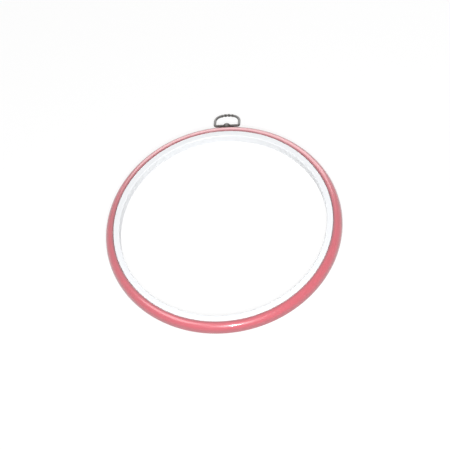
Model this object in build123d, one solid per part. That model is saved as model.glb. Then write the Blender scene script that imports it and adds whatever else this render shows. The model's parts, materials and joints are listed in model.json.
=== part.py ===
from build123d import *
import os
from math import acos, asin, cos, degrees

# A seven inch embroidery hoop of the stretch-on kind, lying face up. A rigid inner ring carries the cloth,
# a flexible outer ring is stretched down over it, and a domed stud in the outer ring holds a rope-twisted
# bail to hang the work by. Millimetres, +Z up. The origin is the middle of the inner ring, on its base.

# Rigid inner ring
inner_ring_diameter = 178.0     # outside, which is the size that such a hoop is sold by
inner_ring_wall = 5.1
ring_height = 8.4
face_bevel = 0.6                # both upper edges
lip_reach = 1.2                 # foot that the outer ring comes down on, hidden under it
lip_thickness = 1.0

# Flexible outer ring
outer_ring_width = 6.95         # from its inner face to its widest line
base_bevel = 1.0                # up to the widest line, where the crown begins
crown_drop = 0.2                # of its top below the face of the inner ring
stretch_gap = 0.15              # between the two rings, where the cloth is gripped
lip_gap = 0.2                   # round the rim of the lip

# Domed stud, riveted through the outer ring
stud_height = 3.6               # of its axis above the base
knob_radius = 3.0
dome_height = 2.2               # of the head's domed end beyond the bail's axis
hinge_reach = 1.0               # from the outer ring's widest line out to the bail's axis
seat_depth = 2.7                # of the stud's seat, in from that line
shank_diameter = 2.4
rivet_head_diameter = 3.7
rivet_head_height = 0.5
rivet_bevel = 0.3
stud_gap = 0.1                  # round the foot of the stud in its seat
shank_gap = 0.03                # round the shank, in the ring and in the washer

# Washer that spreads the stud's pull over the soft ring
washer_diameter = 4.5
washer_thickness = 0.6
recess_depth = 1.5
recess_gap = 0.15

# Bail, one cast wire whose two ends spring into the stud from both sides
bail_half_width = 10.1          # to the middle of a leg
bail_reach = 12.3               # from its axis to the middle of the arch
wire_diameter = 2.1
corner_radius = 1.3
shoulder_radius = 6.3
arch_radius = 16.0
end_gap = 0.5                   # between the two ends of the wire, inside the stud
hinge_gap = 0.06                # round the wire in the stud's hole
rope_diameter = 2.4             # over the two strands
strand_diameter = 1.5
rope_pitch = 6.0                # of one whole turn of the strands
rope_blend = 2.4                # length over which the strands grow out of the round wire
strand_corners = 6              # facets of one strand, half of those of the round wire
outlines_a_turn = 8
bend_steps = 3

overrun = 3.0                   # of a cutting tool past the face that it starts from

# Sizes that follow from these
inner_ring_outside = inner_ring_diameter / 2
inner_ring_inside = inner_ring_outside - inner_ring_wall
outer_ring_inside = inner_ring_outside + stretch_gap
widest_radius = outer_ring_inside + outer_ring_width
crown_height = ring_height - crown_drop
hinge_radius = widest_radius + hinge_reach
seat_radius = widest_radius - seat_depth
recess_radius = outer_ring_inside + recess_depth
bail_droop = degrees(asin((stud_height - rope_diameter / 2) / bail_reach))


def stud_axis(distance):
    """Plane square to the stud's axis at a distance from the hoop's middle, facing outwards."""
    return Plane(origin=(0, distance, stud_height), x_dir=(1, 0, 0), z_dir=(0, 1, 0))


def stud_disc(distance, radius, thickness):
    """Disc on the stud's axis that starts at a distance from the hoop's middle and grows outwards."""
    return extrude(stud_axis(distance) * Circle(radius), amount=thickness)


def make_inner_ring():
    """Plain ring with a bevelled face, a sharp moulded base and a small lip round its foot."""
    profile = make_face(Polyline(
        (inner_ring_inside, 0),
        (inner_ring_outside + lip_reach, 0),
        (inner_ring_outside + lip_reach, lip_thickness),
        (inner_ring_outside, lip_thickness),
        (inner_ring_outside, ring_height),
        (inner_ring_inside, ring_height),
        close=True,
    ))
    profile = chamfer(profile.vertices().group_by(Axis.Y)[-1], face_bevel)
    return revolve(Plane.XZ * profile, Axis.Z)


def make_outer_ring():
    """Frame whose crown is an arc, upright at its widest line and nearly level at its inner edge, on a flat
    inner face and a flat base. It has a rebate for the lip, a seat and a hole for the stud, and a recess."""
    rebate_radius = inner_ring_outside + lip_reach + lip_gap
    crown = TangentArc((widest_radius, base_bevel), (outer_ring_inside, crown_height), tangent=(0, 1))
    sides = Polyline(
        (outer_ring_inside, crown_height),
        (outer_ring_inside, lip_thickness),
        (rebate_radius, lip_thickness),
        (rebate_radius, 0),
        (widest_radius - base_bevel, 0),
        (widest_radius, base_bevel),
    )
    ring = revolve(Plane.XZ * make_face([crown, sides]), Axis.Z)
    shank_reach = seat_radius - recess_radius
    ring -= stud_disc(seat_radius, knob_radius + stud_gap, seat_depth + overrun)
    ring -= stud_disc(recess_radius - overrun, shank_diameter / 2 + shank_gap, shank_reach + 2 * overrun)
    ring -= stud_disc(recess_radius - overrun, washer_diameter / 2 + recess_gap, overrun)
    return ring


def make_hanger_stud():
    """Turned stud: a domed knob with a cross hole for the bail, on a shank riveted over the washer."""
    rivet_base = recess_radius - washer_thickness
    knob = stud_disc(seat_radius, knob_radius, hinge_radius - seat_radius)
    dome_radius = (knob_radius ** 2 + dome_height ** 2) / dome_height / 2
    dome_start = degrees(asin(1 - dome_height / dome_radius))
    dome_middle = stud_axis(hinge_radius + dome_height - dome_radius)
    dome = dome_middle * Sphere(dome_radius, dome_start, 90, align=None)
    shank = stud_disc(rivet_base, shank_diameter / 2, seat_radius - rivet_base)
    head = stud_disc(rivet_base - rivet_head_height, rivet_head_diameter / 2, rivet_head_height)
    head = chamfer(head.faces().sort_by(Axis.Y)[0].edges(), rivet_bevel)
    stud = knob + dome + shank + head
    hole_plane = Plane(origin=(0, hinge_radius, stud_height), x_dir=(0, 1, 0), z_dir=(1, 0, 0))
    hole = hole_plane * Circle(wire_diameter / 2 + hinge_gap)
    return stud - extrude(hole, amount=knob_radius + overrun, both=True)


def make_stud_washer():
    """Flat washer in the recess of the outer ring, under the riveted end of the stud."""
    washer = stud_disc(recess_radius - washer_thickness, washer_diameter / 2, washer_thickness)
    return washer - stud_disc(recess_radius - overrun, shank_diameter / 2 + shank_gap, 2 * overrun)


def bail_stretches():
    """One half of the bail's middle line in its own plane: from its end inside the stud along the bar, round
    the corner, up the leg, round the shoulder and along the flatter arch to the top."""
    lean = asin((bail_half_width - shoulder_radius) / (arch_radius - shoulder_radius))
    leg_top = bail_reach - arch_radius + (arch_radius - shoulder_radius) * cos(lean)
    bar = Line((end_gap / 2, 0), (bail_half_width - corner_radius, 0))
    corner = JernArc(bar @ 1, bar % 1, corner_radius, 90)
    leg = Line(corner @ 1, (bail_half_width, leg_top))
    shoulder = JernArc(leg @ 1, leg % 1, shoulder_radius, 90 - degrees(lean))
    arch = JernArc(shoulder @ 1, shoulder % 1, arch_radius, degrees(lean))
    return bar, corner, leg, shoulder, arch


def even_steps(start, length, count):
    """Evenly spaced distances from a start up to, but not at, the end of a length."""
    return [start + length * step / count for step in range(count)]


def strand_pair(strand_radius, offset):
    """Outline of two strands side by side, each offset from the middle. At no offset it is a round wire."""
    half_angle = degrees(acos(-offset / strand_radius))
    one = []
    for angle in even_steps(-half_angle, 2 * half_angle, strand_corners):
        corner = Vector(strand_radius, 0).rotate(Axis.Z, angle)
        one.append((offset + corner.X, corner.Y))
    other = [(-x, -y) for x, y in one]
    return make_face(Polyline(*one, *other, close=True))


def make_hanger_bail():
    """D-shaped bail: a round wire whose arch is a rope of two strands, which grow out of it at the shoulders.
    It hangs from the stud until the arch touches what the hoop lies on."""
    bar, corner, leg, shoulder, arch = bail_stretches()
    half = Curve() + [bar, corner, leg, shoulder, arch]
    path = (half + mirror(half, Plane.YZ)).wire()
    leg_end = bar.length + corner.length + leg.length
    rope_start = leg_end + shoulder.length
    rope_length = path.length - 2 * rope_start
    outline_count = round(outlines_a_turn * rope_length / rope_pitch)

    plain = even_steps(0, bar.length, 1)
    plain += even_steps(bar.length, corner.length, bend_steps)
    plain += even_steps(leg_end - leg.length, leg.length, 1)
    plain += even_steps(leg_end, shoulder.length, bend_steps)
    rope = even_steps(rope_start, rope_length, outline_count)
    places = plain + rope + [path.length - rope_start] + [path.length - place for place in reversed(plain)]

    outlines = []
    for place in places:
        along = min(max(place - rope_start, 0), rope_length)
        grown = min(1, along / rope_blend, (rope_length - along) / rope_blend)
        offset = grown * (rope_diameter - strand_diameter) / 2
        strand_radius = (wire_diameter + grown * (strand_diameter - wire_diameter)) / 2
        square = Plane(
            origin=path.position_at(place, position_mode=PositionMode.LENGTH),
            x_dir=(0, 0, 1),
            z_dir=path.tangent_at(place, position_mode=PositionMode.LENGTH),
        )
        outlines.append(square * Rot(0, 0, 360 * along / rope_pitch) * strand_pair(strand_radius, offset))
    bail = loft(outlines, ruled=True)
    return Pos(0, hinge_radius, stud_height) * Rot(-bail_droop, 0, 0) * bail


parts = {
    "inner_ring": make_inner_ring(),
    "outer_ring": make_outer_ring(),
    "hanger_stud": make_hanger_stud(),
    "stud_washer": make_stud_washer(),
    "hanger_bail": make_hanger_bail(),
}
os.makedirs("parts", exist_ok=True)
for name, shape in parts.items():
    export_step(shape, f"parts/{name}.step")
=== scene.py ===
import json
import bpy
import numpy as np
from mathutils import Matrix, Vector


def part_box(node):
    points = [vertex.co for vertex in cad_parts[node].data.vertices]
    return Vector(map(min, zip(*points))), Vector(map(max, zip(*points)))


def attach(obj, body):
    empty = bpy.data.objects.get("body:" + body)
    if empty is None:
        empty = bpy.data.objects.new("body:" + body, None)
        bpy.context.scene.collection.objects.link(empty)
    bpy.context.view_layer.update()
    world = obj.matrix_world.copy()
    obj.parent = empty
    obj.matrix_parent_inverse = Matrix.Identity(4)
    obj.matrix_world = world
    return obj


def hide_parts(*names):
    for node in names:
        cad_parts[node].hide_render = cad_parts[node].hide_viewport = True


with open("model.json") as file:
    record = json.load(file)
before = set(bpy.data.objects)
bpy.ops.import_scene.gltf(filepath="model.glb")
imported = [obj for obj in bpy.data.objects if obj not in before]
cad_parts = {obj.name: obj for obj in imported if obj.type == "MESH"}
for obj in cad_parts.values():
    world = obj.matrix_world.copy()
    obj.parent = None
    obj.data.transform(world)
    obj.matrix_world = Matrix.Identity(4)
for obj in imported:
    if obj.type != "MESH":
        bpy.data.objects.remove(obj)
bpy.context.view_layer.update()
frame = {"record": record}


# Inner ring
# The rigid ring that the cloth is laid over, injection moulded in white polystyrene. It has a flat face with
# rounded edges and, hidden under the outer ring, a low lip that the outer ring is pushed down against.

MM = 0.001
ROUND_STEPS = 900                     # columns round a ring, 0.7 mm apart

inner_low, inner_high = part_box("inner_ring")
bore_radius = frame["record"]["mounts"][0]["dims"]["r_mm"] * MM
lip_radius = inner_high.x
lip_reach = 1.2 * MM
lip_top = 1.0 * MM
wall_radius = lip_radius - lip_reach  # outside of the ring above the lip
face_height = inner_high.z
FACE_ROUND = 0.75 * MM
LIP_ROUND = 0.25 * MM
FOOT_ROUND = 0.15 * MM

FLOW_LENGTH = 30 * MM
FLOW_ACROSS = 1.5 * MM
RUBBING_SIZE = 9 * MM
PEEL_SIZE = 1.1 * MM                  # of the slight unevenness that a moulded gloss has

POLYSTYRENE_WHITE = "#F3F5F7"
POLYSTYRENE_SHADE = "#F0F2F5"


def rounded_stretches(corners, arc_steps=8, support=0.06 * MM, spacing=1.2 * MM):
    """Closed outline of (x, y, radius) corners, as a list of an arc and a straight run in turn. An arc starts its
    radius over the tangent of half the corner's angle before the corner, and turns evenly about its middle. A run
    has a point close to each arc, which keeps its shading flat, and others evenly spaced."""
    corners = np.array(corners, float)
    places, radii = corners[:, :2], corners[:, 2]
    back = np.roll(places, 1, 0) - places
    ahead = np.roll(places, -1, 0) - places
    back /= np.linalg.norm(back, axis=1)[:, None]
    ahead /= np.linalg.norm(ahead, axis=1)[:, None]
    half_angle = np.arccos(np.clip((back * ahead).sum(1), -1, 1)) / 2
    tangent = radii / np.tan(half_angle)
    inward = back + ahead
    inward /= np.linalg.norm(inward, axis=1)[:, None]
    middles = places + inward * (radii / np.sin(half_angle))[:, None]
    starts, ends = places + back * tangent[:, None], places + ahead * tangent[:, None]
    stretches = []
    for start, end, middle, radius, run_end in zip(starts, ends, middles, radii, np.roll(starts, -1, 0)):
        first = np.arctan2(start[1] - middle[1], start[0] - middle[0])
        last = np.arctan2(end[1] - middle[1], end[0] - middle[0])
        turn = (last - first + np.pi) % (2 * np.pi) - np.pi
        angles = first + np.linspace(0, turn, arc_steps + 1)[:, None]
        arc = middle + radius * np.hstack([np.cos(angles), np.sin(angles)])
        stretches.append(arc if radius > 0 else start[None])
        length = max(np.linalg.norm(run_end - end), support)
        even = np.linspace(0, 1, int(length / spacing) + 2)[1:-1]
        stops = np.concatenate([[support / length], even, [1 - support / length]])
        stops = np.unique(stops[(stops > 0) & (stops < 1)])
        stretches.append(end + stops[:, None] * (run_end - end))
    return stretches


def turned(outline, steps):
    """Grid of an outline of (radius, height) carried round the Z axis in even steps: radius times the cosine and
    the sine of the angle, at the same height."""
    angles = np.arange(steps) * (2 * np.pi / steps)
    radius, height = outline[:, 0][:, None], outline[:, 1][:, None]
    return np.stack([radius * np.cos(angles), radius * np.sin(angles), height + 0 * angles], -1)


def skin(name, grid, poles=False, **attributes):
    """Closed mesh over a grid of (rows, columns, 3) points, whose columns close on themselves. Its rows do too, or
    with poles its first and last rows lie in one point each, and become that point. Faces point outwards."""
    rows, columns = grid.shape[:2]
    i, j = np.meshgrid(np.arange(rows), np.arange(columns), indexing="ij")
    corners = np.stack([i * columns + j, i * columns + (j + 1) % columns], -1)
    quads = np.concatenate([corners, np.roll(corners, -1, 0)[..., ::-1]], -1)
    points, sides = grid.reshape(-1, 3), 4
    if poles:
        first, last = quads[0][:, [0, 2, 3]], quads[-2][:, [0, 1, 2]]
        first[:, 0], last[:, 2] = 0, (rows - 1) * columns
        quads = quads[1:-2]
        loops = np.concatenate([first.ravel(), quads.ravel(), last.ravel()])
        sides = np.repeat([3, 4, 3], [columns, quads.size // 4, columns])
    else:
        loops, sides = quads.ravel(), np.full(quads.size // 4, 4)
    a, b, c = (points[quads[..., k].ravel()] for k in (0, 1, 2))
    if (a * np.cross(b, c)).sum() < 0:
        loops = loops[::-1]
        sides = sides[::-1]
    kept, loops = np.unique(loops, return_inverse=True)
    points = points[kept]
    mesh = bpy.data.meshes.new(name)
    mesh.vertices.add(len(points))
    mesh.vertices.foreach_set("co", points.astype(np.float32).ravel())
    mesh.loops.add(len(loops))
    mesh.loops.foreach_set("vertex_index", loops.astype(np.int32))
    mesh.polygons.add(len(sides))
    mesh.polygons.foreach_set("loop_start", (np.cumsum(sides) - sides).astype(np.int32))
    mesh.polygons.foreach_set("use_smooth", np.ones(len(sides), bool))
    mesh.update(calc_edges=True)
    for label, values in attributes.items():
        values = values.ravel()[kept].astype(np.float32)
        mesh.attributes.new(label, "FLOAT", "POINT").data.foreach_set("value", values)
    piece = bpy.data.objects.new(name, mesh)
    bpy.context.scene.collection.objects.link(piece)
    return piece


def hex_colour(text, alpha=1.0):
    """Linear red, green, blue and alpha of an sRGB colour such as #F3F5F7."""
    levels = np.array([int(text[k:k + 2], 16) for k in (1, 3, 5)]) / 255
    linear = np.where(levels <= 0.04045, levels / 12.92, ((levels + 0.055) / 1.055) ** 2.4)
    return (*linear.tolist(), alpha)


def add_node(tree, kind, inputs=None, **settings):
    """Adds one node with its settings. An input takes a value, or another node's output as a link."""
    node = tree.nodes.new(kind)
    for label, value in settings.items():
        setattr(node, label, value)
    for label, value in (inputs or {}).items():
        if isinstance(value, bpy.types.NodeSocket):
            tree.links.new(value, node.inputs[label])
        else:
            node.inputs[label].default_value = value
    return node


def new_material(name):
    """Empty material, and its node tree."""
    material = bpy.data.materials.new(name)
    material.use_nodes = True
    material.node_tree.nodes.clear()
    return material, material.node_tree


def along_the_ring(tree, along, across):
    """Noise coordinates that follow a ring: the direction from its middle, times the ring's radius over the length
    of the pattern along it, with the height and the distance from the middle over its length across."""
    place = add_node(tree, "ShaderNodeTexCoord").outputs["Object"]
    parts = add_node(tree, "ShaderNodeSeparateXYZ", {"Vector": place})
    flat = add_node(tree, "ShaderNodeCombineXYZ", {"X": parts.outputs["X"], "Y": parts.outputs["Y"]}).outputs[0]
    direction = add_node(tree, "ShaderNodeVectorMath", {0: flat}, operation="NORMALIZE").outputs[0]
    distance = add_node(tree, "ShaderNodeVectorMath", {0: flat}, operation="LENGTH").outputs["Value"]
    spread = add_node(tree, "ShaderNodeVectorMath", {0: direction, "Scale": wall_radius / along}, operation="SCALE")
    height = add_node(tree, "ShaderNodeMath", {0: parts.outputs["Z"], 1: 1 / across}, operation="MULTIPLY")
    lift = add_node(tree, "ShaderNodeCombineXYZ", {"Z": height.outputs[0]}).outputs[0]
    vector = add_node(tree, "ShaderNodeVectorMath", {0: spread.outputs[0], 1: lift}, operation="ADD").outputs[0]
    out = add_node(tree, "ShaderNodeMath", {0: distance, 1: 1 / across}, operation="MULTIPLY").outputs[0]
    return vector, out


def white_polystyrene():
    """Polystyrene, injection moulded in a polished tool: an even satin gloss, with faint flow marks round the ring
    and the dull rubbing that cloth leaves on the face."""
    material, tree = new_material("white moulded polystyrene")
    place = add_node(tree, "ShaderNodeTexCoord").outputs["Object"]
    vector, out = along_the_ring(tree, along=FLOW_LENGTH, across=FLOW_ACROSS)
    flow = add_node(tree, "ShaderNodeTexNoise", {"Vector": vector, "W": out, "Scale": 1.0, "Detail": 3.0},
                    noise_dimensions="4D").outputs["Fac"]
    rubbing = add_node(tree, "ShaderNodeTexNoise", {"Vector": place, "Scale": 1 / RUBBING_SIZE, "Detail": 4.0,
                                                    "Roughness": 0.6}).outputs["Fac"]
    peel = add_node(tree, "ShaderNodeTexNoise", {"Vector": place, "Scale": 1 / PEEL_SIZE, "Detail": 2.0})
    colour = add_node(tree, "ShaderNodeMix", {0: flow, 6: hex_colour(POLYSTYRENE_SHADE),
                                              7: hex_colour(POLYSTYRENE_WHITE)}, data_type="RGBA")
    gloss = add_node(tree, "ShaderNodeMapRange", {"Value": rubbing, "From Min": 0.3, "From Max": 0.7,
                                                  "To Min": 0.32, "To Max": 0.36})
    relief = add_node(tree, "ShaderNodeMath", {0: flow, 1: 0.5, 2: peel.outputs["Fac"]}, operation="MULTIPLY_ADD")
    bump = add_node(tree, "ShaderNodeBump", {"Height": relief.outputs[0], "Strength": 0.12,
                                             "Distance": 0.02 * MM})
    shader = add_node(tree, "ShaderNodeBsdfPrincipled", {
        "Base Color": colour.outputs[2], "Roughness": gloss.outputs[0], "Normal": bump.outputs[0], "IOR": 1.59})
    add_node(tree, "ShaderNodeOutputMaterial", {"Surface": shader.outputs[0]})
    return material


inner_outline = np.vstack(rounded_stretches([
    (bore_radius, 0, FOOT_ROUND),
    (lip_radius, 0, FOOT_ROUND),
    (lip_radius, lip_top, LIP_ROUND),
    (wall_radius, lip_top, FOOT_ROUND),
    (wall_radius, face_height, FACE_ROUND),
    (bore_radius, face_height, FACE_ROUND),
]))
inner_ring = skin("rigid_inner_ring", turned(inner_outline, ROUND_STEPS))
inner_ring.data.materials.append(white_polystyrene())
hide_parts("inner_ring")
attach(inner_ring, "inner_ring")


# Outer ring
# The flexible ring that is stretched down over the inner one and grips the cloth, moulded in glossy pink vinyl.
# Its crown is a broad round one, its inner face is flat and its base has a rebate for the inner ring's lip.

STRETCH_GAP = 0.15 * MM               # between the two rings, where the cloth is gripped
LIP_GAP = 0.2 * MM
outer_low, outer_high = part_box("outer_ring")
mouth_radius = wall_radius + STRETCH_GAP
widest_radius = outer_high.x
rebate_radius = lip_radius + LIP_GAP
crown_height = outer_high.z
WIDEST_HEIGHT = 1.0 * MM
BASE_ROUND = 0.8 * MM
MOUTH_ROUND = 0.5 * MM
REBATE_ROUND = 0.15 * MM
CROWN_POINTS = 34

WAVE_LENGTH = 22 * MM
WAVE_ACROSS = 2.6 * MM
SCUFF_LENGTH = 9 * MM
SCUFF_ACROSS = 0.35 * MM
BLOTCH_SIZE = 14 * MM
JOINT_SHADE_WIDTH = 2.6 * MM                 # width of the painted shade along the joint
FOOT_SHADE_WIDTH = 1.6 * MM                  # and of the fainter painted shade up from the foot

VINYL_PINK = "#CA4658"
VINYL_DEEP = "#C43B4E"
# colour that the painted shade along the joint and the foot darkens the pink to
VINYL_PAINTED_SHADE = "#9A404B"


def crown_outline():
    """Quarter of an ellipse, upright at the widest line and level where the inner edge's rounding starts: the
    width times the cosine and the rise times the sine of an angle from 0 to 90 degrees."""
    angle = np.linspace(0, np.pi / 2, CROWN_POINTS)[:-1]
    top_radius = mouth_radius + MOUTH_ROUND
    out = top_radius + (widest_radius - top_radius) * np.cos(angle)
    return np.stack([out, WIDEST_HEIGHT + (crown_height - WIDEST_HEIGHT) * np.sin(angle)], -1)


def pink_vinyl():
    """Plasticised vinyl, moulded soft and glossy: a deep pink that lets a little light in, under a hard sharp gloss
    and a wider soft one. It has long shallow waves round the ring and fine scuffs. Painted shade darkens its colour
    along the joint with the inner ring and along its foot."""
    material, tree = new_material("pink moulded vinyl")
    place = add_node(tree, "ShaderNodeTexCoord").outputs["Object"]
    vector, out = along_the_ring(tree, along=WAVE_LENGTH, across=WAVE_ACROSS)
    waves = add_node(tree, "ShaderNodeTexNoise", {"Vector": vector, "W": out, "Scale": 1.0, "Detail": 2.0},
                     noise_dimensions="4D").outputs["Fac"]
    scuff_vector, scuff_out = along_the_ring(tree, along=SCUFF_LENGTH, across=SCUFF_ACROSS)
    scuffs = add_node(tree, "ShaderNodeTexNoise", {"Vector": scuff_vector, "W": scuff_out, "Scale": 1.0,
                                                   "Detail": 5.0, "Roughness": 0.65},
                      noise_dimensions="4D").outputs["Fac"]
    blotches = add_node(tree, "ShaderNodeTexNoise", {"Vector": place, "Scale": 1 / BLOTCH_SIZE, "Detail": 2.0})
    colour = add_node(tree, "ShaderNodeMix", {0: blotches.outputs["Fac"], 6: hex_colour(VINYL_DEEP),
                                              7: hex_colour(VINYL_PINK)}, data_type="RGBA").outputs[2]
    # Painted shade: the colour is darkened along the joint with the inner ring and up from the foot, where shade
    # falls.
    joint = add_node(tree, "ShaderNodeMapRange", {
        "Value": out, "From Min": mouth_radius / WAVE_ACROSS, "From Max": (mouth_radius + JOINT_SHADE_WIDTH) / WAVE_ACROSS,
        "To Min": 1.0, "To Max": 0.0}, interpolation_type="SMOOTHSTEP")
    foot = add_node(tree, "ShaderNodeMapRange", {
        "Value": out, "From Min": (widest_radius - FOOT_SHADE_WIDTH) / WAVE_ACROSS, "From Max": widest_radius / WAVE_ACROSS,
        "To Min": 0.0, "To Max": 0.65}, interpolation_type="SMOOTHSTEP")
    painted_shade = add_node(tree, "ShaderNodeMath", {0: joint.outputs[0], 1: foot.outputs[0]}, operation="MAXIMUM")
    colour = add_node(tree, "ShaderNodeMix", {0: painted_shade.outputs[0], 6: colour, 7: hex_colour(VINYL_PAINTED_SHADE)},
                      data_type="RGBA")
    gloss = add_node(tree, "ShaderNodeMapRange", {"Value": scuffs, "From Min": 0.45, "From Max": 0.75,
                                                  "To Min": 0.34, "To Max": 0.44})
    relief = add_node(tree, "ShaderNodeMath", {0: waves, 1: 1.0, 2: scuffs}, operation="MULTIPLY_ADD")
    bump = add_node(tree, "ShaderNodeBump", {"Height": relief.outputs[0], "Strength": 0.2,
                                             "Distance": 0.05 * MM})
    shader = add_node(tree, "ShaderNodeBsdfPrincipled", {
        "Base Color": colour.outputs[2], "Roughness": gloss.outputs[0], "Normal": bump.outputs[0], "IOR": 1.54,
        "Specular IOR Level": 1.0, "Coat Weight": 1.0, "Coat Roughness": 0.13, "Coat IOR": 1.7,
        "Coat Normal": bump.outputs[0],
        "Subsurface Weight": 0.12, "Subsurface Radius": (1.0, 0.35, 0.3), "Subsurface Scale": 1.2 * MM})
    add_node(tree, "ShaderNodeOutputMaterial", {"Surface": shader.outputs[0]})
    return material


HANGER_COLUMNS = 96                   # round the stud, the washer and the holes for them
SEAT_DEPTH = 2.7 * MM
RECESS_DEPTH = 1.5 * MM
stud_height = 3.6 * MM                # of the hanger's axis above the base
seat_distance = widest_radius - SEAT_DEPTH
recess_distance = mouth_radius + RECESS_DEPTH
knob_radius = 3.0 * MM
SHANK_RADIUS = 1.2 * MM
WASHER_RADIUS = 2.25 * MM
SEAT_GAP = 0.1 * MM
SHANK_GAP = 0.03 * MM
RECESS_GAP = 0.15 * MM
OVERRUN = 3 * MM


def on_stud_axis(grid):
    """A grid turned round the Z axis, laid over so that its height runs outwards along the hanger's axis."""
    return np.stack([grid[..., 0], grid[..., 2], stud_height - grid[..., 1]], -1)


def cut_out(piece, tool):
    """Takes a closed tool mesh out of a piece for good, and removes the tool."""
    cut = piece.modifiers.new("cut", "BOOLEAN")
    cut.operation, cut.solver, cut.object = "DIFFERENCE", "EXACT", tool
    whole = piece.data
    piece.data = bpy.data.meshes.new_from_object(piece.evaluated_get(bpy.context.evaluated_depsgraph_get()))
    piece.modifiers.clear()
    piece.data.name = piece.name
    bpy.data.meshes.remove(whole)
    bpy.data.meshes.remove(tool.data)
    piece.data.set_sharp_from_angle(angle=np.radians(35))


frame_stretches = rounded_stretches([
    (mouth_radius, crown_height, MOUTH_ROUND),
    (mouth_radius, lip_top, REBATE_ROUND),
    (rebate_radius, lip_top, REBATE_ROUND),
    (rebate_radius, 0, REBATE_ROUND),
    (widest_radius, 0, BASE_ROUND),
    (widest_radius, crown_height, MOUTH_ROUND),
])
frame_outline = np.vstack(frame_stretches[:-3] + [crown_outline()])
outer_ring = skin("stretch_outer_ring", turned(frame_outline, ROUND_STEPS))
bore_tool_outline = np.vstack(rounded_stretches([
    (0, recess_distance - OVERRUN, 0),
    (WASHER_RADIUS + RECESS_GAP, recess_distance - OVERRUN, 0),
    (WASHER_RADIUS + RECESS_GAP, recess_distance, 0),
    (SHANK_RADIUS + SHANK_GAP, recess_distance, 0),
    (SHANK_RADIUS + SHANK_GAP, seat_distance, 0),
    (knob_radius + SEAT_GAP, seat_distance, 0),
    (knob_radius + SEAT_GAP, seat_distance + OVERRUN, 0),
    (0, seat_distance + OVERRUN, 0),
])[:-1])
cut_out(outer_ring, skin("bore_tool", on_stud_axis(turned(bore_tool_outline, HANGER_COLUMNS)), poles=True))
outer_ring.data.materials.append(pink_vinyl())
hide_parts("outer_ring")
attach(outer_ring, "outer_ring")


# Stud washer
# A small flat washer of zinc-plated steel, blanked with slightly rounded edges. It lies in the recess inside the
# outer ring, under the riveted end of the stud, and spreads the stud's pull over the soft ring.

WASHER_THICKNESS = 0.6 * MM
WASHER_ROUND = 0.1 * MM
ZINC_GREY = "#A9ACAD"


def zinc_plated_steel():
    """Steel blanked from sheet and zinc plated: a cool grey metal, slightly cloudy, with fine rolled grain."""
    material, tree = new_material("zinc plated steel")
    place = add_node(tree, "ShaderNodeTexCoord").outputs["Object"]
    grain = add_node(tree, "ShaderNodeMapping", {"Vector": place, "Scale": (1 / (3 * MM), 1 / MM, 1 / (0.2 * MM))})
    cloud = add_node(tree, "ShaderNodeTexNoise", {"Vector": grain.outputs[0], "Scale": 1.0, "Detail": 4.0})
    gloss = add_node(tree, "ShaderNodeMapRange", {"Value": cloud.outputs["Fac"], "From Min": 0.3, "From Max": 0.7,
                                                  "To Min": 0.32, "To Max": 0.5})
    bump = add_node(tree, "ShaderNodeBump", {"Height": cloud.outputs["Fac"], "Strength": 0.2,
                                             "Distance": 0.01 * MM})
    shader = add_node(tree, "ShaderNodeBsdfPrincipled", {
        "Base Color": hex_colour(ZINC_GREY), "Metallic": 1.0, "Roughness": gloss.outputs[0],
        "Normal": bump.outputs[0]})
    add_node(tree, "ShaderNodeOutputMaterial", {"Surface": shader.outputs[0]})
    return material


washer_face = recess_distance - WASHER_THICKNESS
washer_outline = np.vstack(rounded_stretches([
    (SHANK_RADIUS + SHANK_GAP, washer_face, WASHER_ROUND),
    (WASHER_RADIUS, washer_face, WASHER_ROUND),
    (WASHER_RADIUS, recess_distance, WASHER_ROUND),
    (SHANK_RADIUS + SHANK_GAP, recess_distance, WASHER_ROUND),
]))
washer = skin("pull_washer", on_stud_axis(turned(washer_outline, HANGER_COLUMNS)))
washer.data.materials.append(zinc_plated_steel())
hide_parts("stud_washer")
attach(washer, "outer_ring")


# Hanger stud
# A turned stud with a domed head, in a zinc alloy with a dark antique nickel finish. Its foot sits in the seat in
# the outer ring's side, its shank is riveted over the washer inside, and the bail's bar runs through its head.

HINGE_REACH = 1.0 * MM
hinge_distance = widest_radius + HINGE_REACH
DOME_HEIGHT = 2.2 * MM
DOME_STEPS = 20
HEAD_RADIUS = 1.85 * MM
HEAD_HEIGHT = 0.5 * MM
HEAD_ROUND = 0.3 * MM
STUD_ROUND = 0.25 * MM
CREASE_ROUND = 0.05 * MM
WIRE_RADIUS = 1.05 * MM
HINGE_GAP = 0.06 * MM
HOLE_COLUMNS = 48
PAINTED_HIGHLIGHT_IN = 0.5 * MM                   # of the painted highlight on top of the dome, in from the bail's axis
PAINTED_HIGHLIGHT_REACH = 1.6 * MM
PAINTED_HIGHLIGHT_PEAK = 1.3
PATINA_SIZE = 0.9 * MM
GRIT_SIZE = 0.12 * MM

# The lighter colour is also that of the painted highlight on the stud's dome.
NICKEL_RUBBED_AND_HIGHLIGHT = "#706F6E"
NICKEL_DARK = "#4C4641"


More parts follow.
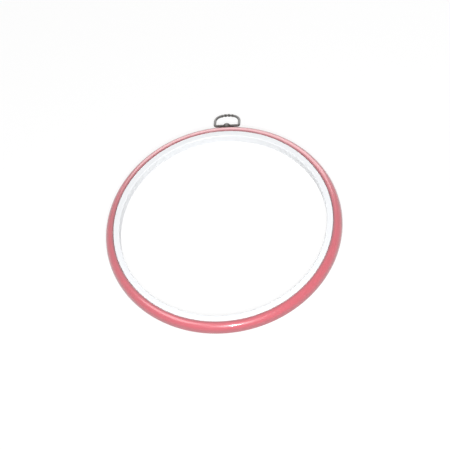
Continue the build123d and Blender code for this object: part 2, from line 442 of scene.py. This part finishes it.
def antique_nickel():
    """Zinc alloy, die cast and plated with dark nickel, then rubbed: brown black in the hollows, where the finish is
    left, and a dull mid grey on what stands out, as a point attribute tells. That attribute also carries painted
    light: a painted highlight on top of the stud's dome and painted shade on the bail's bar."""
    material, tree = new_material("antique nickel plated casting")
    place = add_node(tree, "ShaderNodeTexCoord").outputs["Object"]
    proud = add_node(tree, "ShaderNodeAttribute", attribute_name="proud").outputs["Fac"]
    patina = add_node(tree, "ShaderNodeTexNoise", {"Vector": place, "Scale": 1 / PATINA_SIZE, "Detail": 5.0,
                                                   "Roughness": 0.6}).outputs["Fac"]
    grit = add_node(tree, "ShaderNodeTexNoise", {"Vector": place, "Scale": 1 / GRIT_SIZE, "Detail": 2.0})
    # Painted light rides on the attribute here: its painted highlight and painted shade lighten and darken the
    # metal.
    rubbed = add_node(tree, "ShaderNodeMath", {0: patina, 1: 0.6, 2: proud}, operation="MULTIPLY_ADD")
    share = add_node(tree, "ShaderNodeMapRange", {"Value": rubbed.outputs[0], "From Min": 0.45, "From Max": 1.35,
                                                  "To Min": 0.0, "To Max": 1.0}).outputs[0]
    colour = add_node(tree, "ShaderNodeMix", {0: share, 6: hex_colour(NICKEL_DARK), 7: hex_colour(NICKEL_RUBBED_AND_HIGHLIGHT)},
                      data_type="RGBA")
    gloss = add_node(tree, "ShaderNodeMapRange", {"Value": share, "To Min": 0.55, "To Max": 0.4})
    bump = add_node(tree, "ShaderNodeBump", {"Height": grit.outputs["Fac"], "Strength": 0.25,
                                             "Distance": 0.02 * MM})
    shader = add_node(tree, "ShaderNodeBsdfPrincipled", {
        "Base Color": colour.outputs[2], "Metallic": 1.0, "Roughness": gloss.outputs[0],
        "Normal": bump.outputs[0]})
    add_node(tree, "ShaderNodeOutputMaterial", {"Surface": shader.outputs[0]})
    return material


nickel = antique_nickel()
dome_end = hinge_distance + DOME_HEIGHT
dome_radius = (knob_radius ** 2 + DOME_HEIGHT ** 2) / DOME_HEIGHT / 2
dome_angle = np.linspace(np.arcsin(1 - DOME_HEIGHT / dome_radius), np.pi / 2, DOME_STEPS)[1:]
dome_out, dome_along = dome_radius * np.cos(dome_angle), dome_radius * (np.sin(dome_angle) - 1)
stud_stretches = rounded_stretches([
    (0, washer_face - HEAD_HEIGHT, 0),
    (HEAD_RADIUS, washer_face - HEAD_HEIGHT, HEAD_ROUND),
    (HEAD_RADIUS, washer_face, CREASE_ROUND),
    (SHANK_RADIUS, washer_face, CREASE_ROUND),
    (SHANK_RADIUS, seat_distance, CREASE_ROUND),
    (knob_radius, seat_distance, STUD_ROUND),
    (knob_radius, hinge_distance, 0),
    (0, hinge_distance, 0),
])
stud_outline = np.vstack(stud_stretches[:-3] + [np.stack([dome_out, dome_end + dome_along], -1)])
stud_grid = on_stud_axis(turned(stud_outline, HANGER_COLUMNS))
# Painted highlight: a bright spot on top of the dome, on a stud that is otherwise dark.
painted_highlight_spot = [0, hinge_distance - PAINTED_HIGHLIGHT_IN, stud_height + knob_radius]
stud_proud = PAINTED_HIGHLIGHT_PEAK * np.exp(-((stud_grid - painted_highlight_spot) ** 2).sum(-1) / PAINTED_HIGHLIGHT_REACH ** 2)
stud = skin("domed_stud", stud_grid, poles=True, proud=stud_proud)
hole_outline = np.array([
    (0, -2 * knob_radius),
    (WIRE_RADIUS + HINGE_GAP, -2 * knob_radius),
    (WIRE_RADIUS + HINGE_GAP, 2 * knob_radius),
    (0, 2 * knob_radius),
])
hole_grid = turned(hole_outline, HOLE_COLUMNS)[..., [2, 1, 0]] + [0, hinge_distance, stud_height]
cut_out(stud, skin("hole_tool", hole_grid, poles=True))
stud.data.materials.append(nickel)
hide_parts("hanger_stud")
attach(stud, "outer_ring")


# Bail
# The D-shaped loop that the hoop hangs by, cast in the same alloy and finish as the stud. Its round bar is sprung
# into the stud's hole from both sides, and its arch is a rope of two strands.

BAIL_HALF_WIDTH = 10.1 * MM
BAIL_REACH = 12.3 * MM
CORNER_RADIUS = 1.3 * MM
SHOULDER_RADIUS = 6.3 * MM
ARCH_RADIUS = 16 * MM
END_GAP = 0.5 * MM
ROPE_RADIUS = 1.2 * MM
STRAND_RADIUS = 0.75 * MM
ROPE_PITCH = 6 * MM
ROPE_BLEND = 2.4 * MM
WIRE_STEP = 0.1 * MM
WIRE_COLUMNS = 48
END_ROUND = 0.25 * MM
BAR_SHADED_SHARE = 0.6                       # painted shade: how bright the bar is kept, where the legs are 1
GROOVE_DARK = 0.75                    # share of that which the grooves between the strands lack


def bail_line():
    """The wire's middle line in its own plane, at even steps: its heading is the running sum of its curvature,
    and its places are the running sum of its heading. Returns distances, places and headings."""
    lean = np.arcsin((BAIL_HALF_WIDTH - SHOULDER_RADIUS) / (ARCH_RADIUS - SHOULDER_RADIUS))
    leg_top = BAIL_REACH - ARCH_RADIUS + (ARCH_RADIUS - SHOULDER_RADIUS) * np.cos(lean)
    lengths = np.array([BAIL_HALF_WIDTH - CORNER_RADIUS - END_GAP / 2, CORNER_RADIUS * np.pi / 2,
                        leg_top - CORNER_RADIUS, SHOULDER_RADIUS * (np.pi / 2 - lean), ARCH_RADIUS * lean])
    curvatures = np.array([0, 1 / CORNER_RADIUS, 0, 1 / SHOULDER_RADIUS, 1 / ARCH_RADIUS])
    ends = np.cumsum(np.append(lengths, lengths[::-1]))
    steps = int(ends[-1] / WIRE_STEP)
    distance = np.linspace(0, ends[-1], steps + 1)
    turned_by = np.append(0, np.cumsum(np.append(lengths * curvatures, (lengths * curvatures)[::-1])))
    heading = np.interp(distance, np.append(0, ends), turned_by)
    stride = np.exp(1j * (heading[1:] + heading[:-1]) / 2) * np.diff(distance)
    place = END_GAP / 2 + np.append(0, np.cumsum(stride))
    return distance, place, heading, ends[3]


def bail_surface():
    """The wire as a grid. Its section is a circle, or on the arch two circles side by side whose outer edge lies
    at b times the cosine plus the root of a squared less b squared times the sine squared, where a is a strand's
    radius, b its distance from the middle, and the angle turns with the distance along the rope. Returns the grid
    and how rubbed each point is: least in the grooves, and less on the bar, as painted shade, than on the legs
    and the arch."""
    distance, place, heading, arch_start = bail_line()
    along = np.clip(distance - arch_start, 0, distance[-1] - 2 * arch_start)
    left = distance[-1] - 2 * arch_start - along
    grown = np.clip(np.minimum(along, left) / ROPE_BLEND, 0, 1)
    grown = (grown ** 2 * (3 - 2 * grown))[:, None]
    a = WIRE_RADIUS + grown * (STRAND_RADIUS - WIRE_RADIUS)
    b = grown * (ROPE_RADIUS - STRAND_RADIUS)
    angle = np.arange(WIRE_COLUMNS) * (2 * np.pi / WIRE_COLUMNS)
    twist = angle - 2 * np.pi * along[:, None] / ROPE_PITCH
    radius = b * np.abs(np.cos(twist)) + np.sqrt(a ** 2 - (b * np.sin(twist)) ** 2)
    off_bar = np.clip((place.imag / CORNER_RADIUS)[:, None], 0, 1)
    hollow = (ROPE_RADIUS - radius) / (ROPE_RADIUS - radius.min())
    # Painted shade: the bar is kept darker than the legs and the arch. The darker grooves are the finish left in the
    # hollows.
    proud = (BAR_SHADED_SHARE + (1 - BAR_SHADED_SHARE) * off_bar) * (1 - GROOVE_DARK * grown * hollow)
    from_end = np.minimum(distance, distance[::-1])[:, None]
    radius = radius * np.sqrt(np.clip(1 - (1 - np.clip(from_end / END_ROUND, 0, 1)) ** 2, 0, 1))
    across = radius * np.cos(angle)
    x = place.real[:, None] - across * np.sin(heading)[:, None]
    y = place.imag[:, None] + across * np.cos(heading)[:, None]
    return np.stack([x, y, radius * np.sin(angle)], -1), proud


bail_grid, bail_proud = bail_surface()
droop = np.arcsin((stud_height - ROPE_RADIUS) / BAIL_REACH)
bail_x, bail_out, bail_up = np.moveaxis(bail_grid, -1, 0)
bail_grid = np.stack([
    bail_x,
    hinge_distance + bail_out * np.cos(droop) + bail_up * np.sin(droop),
    stud_height - bail_out * np.sin(droop) + bail_up * np.cos(droop),
], -1)
bail = skin("rope_bail", bail_grid, poles=True, proud=bail_proud)
bail.data.materials.append(nickel)
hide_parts("hanger_bail")
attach(bail, "bail")


# Floor and light
# A plain white floor and plain soft studio light all round, with one broad soft lamp from the front that lights
# everything. Two smaller lamps and a white card behind only show as highlights in what is glossy.

FLOOR_SIZE = 3.0
FLOOR_DROP = 0.02 * MM
FLOOR_GREY = "#C8C8C8"                # as it lights the hoop
SHADOW_GREY = "#7C7C7C"               # the part of it, as seen, that takes the hoop's shadow
FLOOR_GLOW = 0.82                     # the rest, which makes it white
AIR_LIGHT = 0.29                      # of the white all round, as it lights the hoop
AIR_SEEN = 1.0


def is_seen(tree):
    """1 where a ray comes from the camera or from what mirrors or lets it through, and 0 where it only lights."""
    path = add_node(tree, "ShaderNodeLightPath").outputs
    seen = add_node(tree, "ShaderNodeMath", {0: path["Is Camera Ray"], 1: path["Is Glossy Ray"]},
                    operation="MAXIMUM").outputs[0]
    return add_node(tree, "ShaderNodeMath", {0: seen, 1: path["Is Transmission Ray"]},
                    operation="MAXIMUM").outputs[0]


def studio_white():
    """White paper sweep. What looks at it or mirrors it sees it lit to white, less the object's shadow."""
    material, tree = new_material("white paper")
    lit = add_node(tree, "ShaderNodeBsdfDiffuse", {"Color": hex_colour(FLOOR_GREY)}).outputs[0]
    thin = add_node(tree, "ShaderNodeBsdfDiffuse", {"Color": hex_colour(SHADOW_GREY)}).outputs[0]
    glow = add_node(tree, "ShaderNodeEmission", {"Strength": FLOOR_GLOW}).outputs[0]
    bright = add_node(tree, "ShaderNodeAddShader", {0: thin, 1: glow}).outputs[0]
    surface = add_node(tree, "ShaderNodeMixShader", {0: is_seen(tree), 1: lit, 2: bright}).outputs[0]
    add_node(tree, "ShaderNodeOutputMaterial", {"Surface": surface})
    return material


half = FLOOR_SIZE / 2
floor_mesh = bpy.data.meshes.new("floor")
floor_mesh.from_pydata([(-half, -half, -FLOOR_DROP), (half, -half, -FLOOR_DROP), (half, half, -FLOOR_DROP),
                        (-half, half, -FLOOR_DROP)], [], [(0, 1, 2, 3)])
floor = bpy.data.objects.new("floor", floor_mesh)
bpy.context.scene.collection.objects.link(floor)
floor_mesh.materials.append(studio_white())

world = bpy.data.worlds.new("studio")
bpy.context.scene.world = world
world.use_nodes = True
world.node_tree.nodes.clear()
strength = add_node(world.node_tree, "ShaderNodeMapRange", {"Value": is_seen(world.node_tree), "To Min": AIR_LIGHT,
                                                            "To Max": AIR_SEEN})
air = add_node(world.node_tree, "ShaderNodeBackground", {"Color": (1, 1, 1, 1), "Strength": strength.outputs[0]})
add_node(world.node_tree, "ShaderNodeOutputWorld", {"Surface": air.outputs[0]})


def stand(holder, place, right, up, backwards):
    """Puts a lamp or a camera at a place, with its own right, up and backwards directions."""
    turn = Matrix(np.stack([right, up, backwards], -1).tolist())
    holder.matrix_world = Matrix.LocRotScale(place.tolist(), turn, None)
    bpy.context.scene.collection.objects.link(holder)


def add_lamp(name, azimuth, elevation, distance, width, height, power):
    """Rectangular lamp that looks at the hoop's middle from a bearing, 0 at the front and 90 on the left, and a
    height above the floor, both in degrees."""
    lamp = bpy.data.lights.new(name, "AREA")
    lamp.shape, lamp.size, lamp.size_y, lamp.energy = "RECTANGLE", width, height, power
    a, e = np.radians([azimuth, elevation])
    back = np.array([-np.sin(a) * np.cos(e), -np.cos(a) * np.cos(e), np.sin(e)])
    side = np.array([np.cos(a), -np.sin(a), 0])
    holder = bpy.data.objects.new(name, lamp)
    stand(holder, back * distance, side, np.cross(back, side), back)
    return holder


softbox = add_lamp("front_softbox", azimuth=-13, elevation=52, distance=1.2, width=0.8, height=0.6, power=15)
softbox.visible_glossy = False
glint = add_lamp("front_glint", azimuth=-4, elevation=43, distance=1.2, width=0.05, height=0.1, power=4)
streak = add_lamp("left_streak", azimuth=60, elevation=56, distance=1.2, width=0.7, height=0.5, power=2.5)
card = add_lamp("rear_card", azimuth=180, elevation=22, distance=1.2, width=1.6, height=0.9, power=10)
for reflected in (glint, streak, card):
    reflected.visible_diffuse = False
    reflected.visible_camera = False


# Camera
# Above the front of the hoop and a little to its right, far off, turned about its own axis so that the hanger
# stands to the right of the middle.

CAMERA_DISTANCE = 1.5
CAMERA_ELEVATION = 58.28
CAMERA_AZIMUTH = 13.05
CAMERA_ROLL = -13.17
PICTURE_SIZE = 450
PIXELS_A_MM = 1.239
MIDDLE_RIGHT_PIXELS = -1.30           # of the picture's middle, where the hoop's own middle lies
MIDDLE_DOWN_PIXELS = 3.26
SENSOR = 36.0

azimuth, elevation, roll = np.radians([CAMERA_AZIMUTH, CAMERA_ELEVATION, CAMERA_ROLL])
backwards = np.array([np.sin(azimuth) * np.cos(elevation), -np.cos(azimuth) * np.cos(elevation), np.sin(elevation)])
level_right = np.array([np.cos(azimuth), np.sin(azimuth), 0])
level_up = np.cross(backwards, level_right)
right = np.cos(roll) * level_right + np.sin(roll) * level_up
up = np.cos(roll) * level_up - np.sin(roll) * level_right
pixel = MM / PIXELS_A_MM
camera_place = CAMERA_DISTANCE * backwards - MIDDLE_RIGHT_PIXELS * pixel * right + MIDDLE_DOWN_PIXELS * pixel * up
camera_data = bpy.data.cameras.new("camera")
camera_data.sensor_width = SENSOR
camera_data.lens = SENSOR * CAMERA_DISTANCE / (PICTURE_SIZE * pixel)
camera = bpy.data.objects.new("camera", camera_data)
stand(camera, camera_place, right, up, backwards)
bpy.context.scene.camera = camera

bpy.context.scene.view_settings.view_transform = "Standard"
